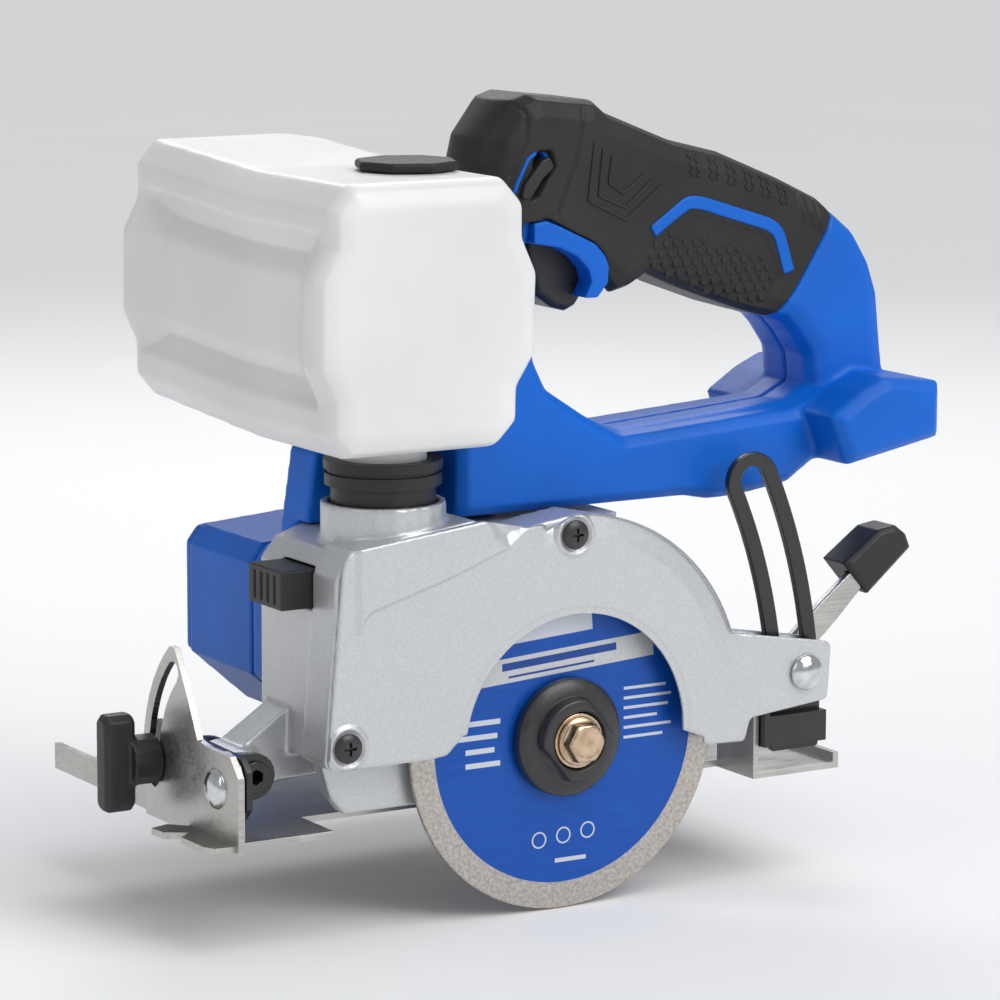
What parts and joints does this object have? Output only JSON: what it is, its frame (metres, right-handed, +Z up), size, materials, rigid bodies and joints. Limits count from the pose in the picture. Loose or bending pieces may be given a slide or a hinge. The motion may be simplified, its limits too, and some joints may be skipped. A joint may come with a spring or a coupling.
{
  "type": "wet tile saw",
  "caption": "Cordless hand-held wet tile saw with a tilting base, a swing depth arm, a guarded diamond blade, a geared side motor, a loop handle and a lift-off water tank.",
  "frame": {"origin": "on the underside of the base, midway across its width, straight below the blade's axis", "axes": "+X to the rear, towards the hand; +Y to the motor side, away from the blade; +Z up"},
  "size_m": [0.2623, 0.1436, 0.2417],
  "materials": {
    "zinc_steel": "satin zinc plate, light brown tint and rolling marks",
    "polished_steel": "polished nickel plate",
    "black_steel": "satin black coating",
    "blackened_steel": "black oxide",
    "silver_paint": "silver metallic paint on a die casting",
    "bare_casting": "bare die casting",
    "blue_plastic": "fine-grained bright blue moulding",
    "grip_rubber": "soft-touch overmould",
    "black_plastic": "fine grain",
    "tank_plastic": "translucent natural polyethylene",
    "blade_face": "blue print on a steel core, diamond rim bare",
    "yellow_zinc": "yellow zinc plate",
    "copper": "enamelled copper windings and steel laminations",
    "board_green": "circuit board",
    "brass": "turned brass",
    "gear_steel": "oiled hardened steel"
  },
  "bodies": {
    "base": {"base_plate": "zinc_steel", "bevel_quadrant": "zinc_steel", "front_pivot_rivet": "polished_steel", "rear_pivot_rivet": "polished_steel"},
    "carrier": {"tilt_bracket_front": "black_steel", "tilt_bracket_rear": "black_steel", "depth_arc": "black_steel", "depth_pivot_pin": "black_steel", "bevel_stud": "gear_steel"},
    "knob": {"bevel_knob": "black_plastic"},
    "head": {"gear_case": "silver_paint", "blade_guard": "silver_paint", "guard_screw_front": "blackened_steel", "guard_screw_top": "blackened_steel", "gearbox_cover": "bare_casting", "depth_clamp_bolt": "polished_steel", "spindle_bearing_outer": "gear_steel", "spindle_bearing_inner": "gear_steel", "motor_bearing_front": "gear_steel", "motor_bearing_rear": "gear_steel", "stator": "copper", "motor_housing": "blue_plastic", "motor_end_cap": "blue_plastic", "housing_near": "blue_plastic", "housing_far": "blue_plastic", "grip_overmould": "grip_rubber", "trigger_surround": "blue_plastic", "trigger_pin": "gear_steel", "trigger_spring": "gear_steel", "switch_module": "black_plastic", "controller_board": "board_green", "battery_terminals": "black_plastic", "button_spring": "gear_steel", "water_nozzle": "brass"},
    "lever": {"depth_lever": "zinc_steel", "lever_pad": "black_plastic"},
    "spindle_group": {"blade": "blade_face", "inner_flange": "blackened_steel", "outer_flange": "blackened_steel", "blade_washer": "yellow_zinc", "blade_bolt": "yellow_zinc", "spindle": "gear_steel", "spindle_gear": "gear_steel"},
    "idler": {"idler_shaft": "gear_steel", "idler_gear": "gear_steel", "idler_pinion": "gear_steel"},
    "rotor": {"motor_shaft": "gear_steel", "motor_rotor": "blackened_steel", "cooling_fan": "black_plastic"},
    "trigger": {"trigger": "black_plastic"},
    "lock_off": {"lock_off_button": "black_plastic"},
    "release_button": {"tank_release_button": "black_plastic"},
    "tank": {"water_tank": "tank_plastic", "tank_collar": "black_plastic", "collar_seal": "grip_rubber"},
    "cap": {"fill_cap": "grip_rubber"}
  },
  "joints": [
    {"name": "bevel_tilt", "type": "hinge", "parent": "base", "child": "carrier", "pos_m": [0, -0.0513, 0.0165], "axis": [1, 0, 0], "range_deg": [0, 45]},
    {"name": "depth_swing", "type": "hinge", "parent": "carrier", "child": "head", "pos_m": [-0.097, -0.0308, 0.017], "axis": [0, -1, 0], "range_deg": [0, 19.6]},
    {"name": "bevel_knob_turn", "type": "hinge", "parent": "carrier", "child": "knob", "pos_m": [-0.118, -0.01182, 0.01788], "axis": [1, 0, 0], "range_deg": [0, 90]},
    {"name": "depth_lever_swing", "type": "hinge", "parent": "head", "child": "lever", "pos_m": [0.0819, -0.0518, 0.0328], "axis": [0, 1, 0], "range_deg": [0, 40]},
    {"name": "spindle_spin", "type": "hinge", "parent": "head", "child": "spindle_group", "pos_m": [0, -0.0579, 0.0208], "axis": [0, 1, 0], "continuous": true},
    {"name": "idler_spin", "type": "hinge", "parent": "head", "child": "idler", "pos_m": [-0.01262, -0.0348, 0.03882], "axis": [0, 1, 0], "continuous": true},
    {"name": "rotor_spin", "type": "hinge", "parent": "head", "child": "rotor", "pos_m": [-0.02994, 0.0012, 0.04882], "axis": [0, 1, 0], "continuous": true},
    {"name": "trigger_pull", "type": "hinge", "parent": "head", "child": "trigger", "pos_m": [0.005, -0.0288, 0.173], "axis": [0, -1, 0], "range_deg": [0, 12], "stiffness_Nm_per_rad": 0.4, "deforming": ["trigger_spring"]},
    {"name": "lock_off_slide", "type": "slide", "parent": "head", "child": "lock_off", "axis": [0, 1, 0], "range_m": [0, 0.003]},
    {"name": "release_button_slide", "type": "slide", "parent": "head", "child": "release_button", "axis": [1, 0, 0], "range_m": [0, 0.004], "stiffness_N_per_m": 300, "deforming": ["button_spring"]},
    {"name": "tank_lift", "type": "slide", "parent": "head", "child": "tank", "axis": [0, 0, 1], "range_m": [0, 0.025]},
    {"name": "fill_cap_lift", "type": "slide", "parent": "tank", "child": "cap", "axis": [0, 0, 1], "range_m": [0, 0.01]}
  ],
  "couplings": [
    {"joint": "idler_spin", "follows": "spindle_spin", "ratio": -1.75},
    {"joint": "rotor_spin", "follows": "spindle_spin", "ratio": 4.0833}
  ]
}
